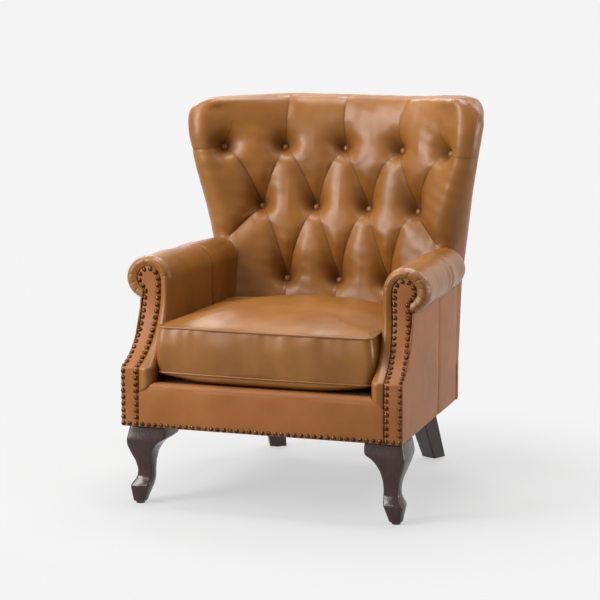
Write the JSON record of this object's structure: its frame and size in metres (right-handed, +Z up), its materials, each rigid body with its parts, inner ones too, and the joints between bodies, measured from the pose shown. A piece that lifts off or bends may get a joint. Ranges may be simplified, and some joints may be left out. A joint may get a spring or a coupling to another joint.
{
  "type": "upholstered armchair",
  "caption": "Club armchair with a button-tufted barrel back, scooped rolled arms trimmed with nail heads, a loose welted seat cushion, cabriole front legs and raked rear legs.",
  "frame": {"origin": "on the floor, under the middle of the chair's box", "axes": "+X to the right as seen from the front, +Y to the rear, +Z up; the chair faces -Y"},
  "size_m": [0.7962, 0.8022, 0.968],
  "materials": {
    "tan_leather": "satin",
    "bronze_nails": "antique",
    "dark_wood": "satin lacquer",
    "foam": "matte",
    "black_cambric": "matte",
    "upholstery_cloth": "matte",
    "jute_webbing": "matte",
    "zinc_steel": "satin",
    "glide_plastic": "matte",
    "frame_timber": "sawn"
  },
  "bodies": {
    "chair": {"back_bottom_rail": "frame_timber", "back_buttons": "tan_leather", "back_crest_rail": "frame_timber", "back_lumbar_rail": "frame_timber", "back_support_cloth": "upholstery_cloth", "back_webbing": "jute_webbing", "base_rear_panel": "tan_leather", "dust_cover": "black_cambric", "foot_glides": "glide_plastic", "front_apron": "tan_leather", "front_nails": "bronze_nails", "front_rail": "frame_timber", "inside_back_pad": "tan_leather", "left_arm_facing": "tan_leather", "left_arm_nails": "bronze_nails", "left_arm_pad": "tan_leather", "left_arm_rail": "frame_timber", "left_arm_stump": "frame_timber", "left_back_post": "frame_timber", "left_front_corner_block": "frame_timber", "left_front_leg": "dark_wood", "left_outside_arm_panel": "tan_leather", "left_rear_leg": "dark_wood", "left_rear_leg_block": "frame_timber", "left_rear_side_panel": "tan_leather", "left_side_rail": "frame_timber", "leg_bolts": "zinc_steel", "leg_plates": "zinc_steel", "outside_back_panel": "tan_leather", "rear_rail": "frame_timber", "right_arm_facing": "tan_leather", "right_arm_nails": "bronze_nails", "right_arm_pad": "tan_leather", "right_arm_rail": "frame_timber", "right_arm_stump": "frame_timber", "right_back_post": "frame_timber", "right_front_corner_block": "frame_timber", "right_front_leg": "dark_wood", "right_outside_arm_panel": "tan_leather", "right_rear_leg": "dark_wood", "right_rear_leg_block": "frame_timber", "right_rear_side_panel": "tan_leather", "right_side_rail": "frame_timber", "seat_deck": "upholstery_cloth", "seat_springs": "zinc_steel", "spring_clips": "zinc_steel"},
    "seat_cushion": {"cushion_bottom_panel": "tan_leather", "cushion_boxing": "tan_leather", "cushion_foam_core": "foam", "cushion_lower_welt": "tan_leather", "cushion_top_panel": "tan_leather", "cushion_upper_welt": "tan_leather"}
  },
  "joints": [
    {"name": "cushion_lift", "type": "slide", "parent": "chair", "child": "seat_cushion", "axis": [0, 0, 1], "range_m": [0, 0.33]}
  ]
}
